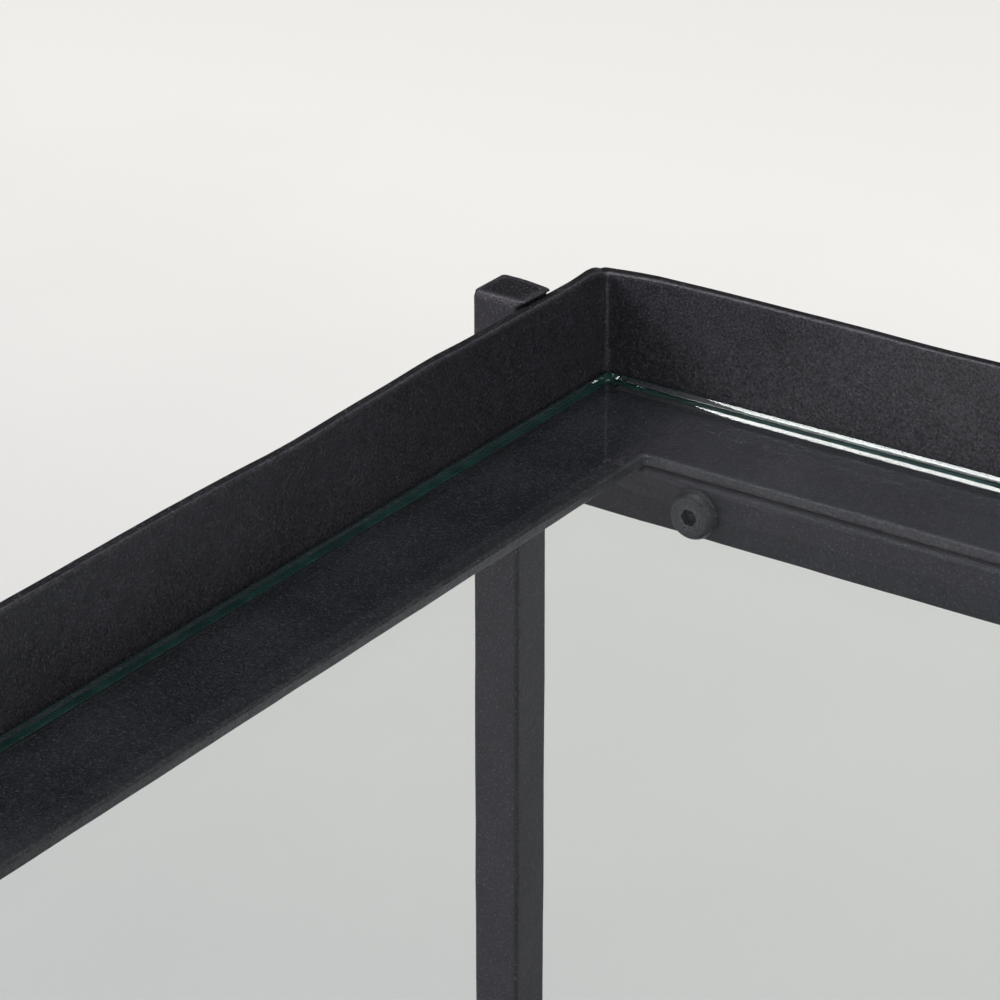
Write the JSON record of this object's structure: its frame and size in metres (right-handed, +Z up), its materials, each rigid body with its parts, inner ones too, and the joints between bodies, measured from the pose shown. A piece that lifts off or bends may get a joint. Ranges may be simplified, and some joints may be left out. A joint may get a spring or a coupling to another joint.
{
  "type": "wall mounted showcase",
  "caption": "Wall mounted display showcase: black iron angle trays with drop-in glass panes on slender square posts, bolted through the back rails to wall plates.",
  "frame": {"origin": "on the plane of the posts' feet, in the middle of the overall width and depth", "axes": "+X to the right along the wall, +Y into the wall, +Z up"},
  "size_m": [0.8, 0.35, 0.64],
  "materials": {
    "black_iron": "satin black, hand-finished, fine grain",
    "clear_glass": "clear, polished edges with a green tint",
    "blackened_screw": "blackened steel, satin"
  },
  "bodies": {
    "showcase": {"post_back_left": "black_iron", "post_back_right": "black_iron", "post_front_left": "black_iron", "post_front_right": "black_iron", "top_tray_front_angle": "black_iron", "top_tray_right_angle": "black_iron", "top_tray_back_angle": "black_iron", "top_tray_left_angle": "black_iron", "top_rail_front": "black_iron", "top_rail_back": "black_iron", "top_screw_left": "blackened_screw", "top_wall_plate_left": "black_iron", "top_screw_right": "blackened_screw", "top_wall_plate_right": "black_iron", "middle_tray_front_angle": "black_iron", "middle_tray_right_angle": "black_iron", "middle_tray_back_angle": "black_iron", "middle_tray_left_angle": "black_iron", "middle_rail_front": "black_iron", "middle_rail_back": "black_iron", "bottom_tray_front_angle": "black_iron", "bottom_tray_right_angle": "black_iron", "bottom_tray_back_angle": "black_iron", "bottom_tray_left_angle": "black_iron", "bottom_rail_front": "black_iron", "bottom_rail_back": "black_iron", "bottom_screw_left": "blackened_screw", "bottom_wall_plate_left": "black_iron", "bottom_screw_right": "blackened_screw", "bottom_wall_plate_right": "black_iron"},
    "top_pane": {"top_glass_pane": "clear_glass"},
    "middle_pane": {"middle_glass_pane": "clear_glass"},
    "bottom_pane": {"bottom_glass_pane": "clear_glass"}
  },
  "joints": [
    {"name": "top_pane_lift", "type": "slide", "parent": "showcase", "child": "top_pane", "axis": [0, 0, 1], "range_m": [0, 0.06]},
    {"name": "middle_pane_lift", "type": "slide", "parent": "showcase", "child": "middle_pane", "axis": [0, 0, 1], "range_m": [0, 0.06]},
    {"name": "bottom_pane_lift", "type": "slide", "parent": "showcase", "child": "bottom_pane", "axis": [0, 0, 1], "range_m": [0, 0.06]}
  ]
}
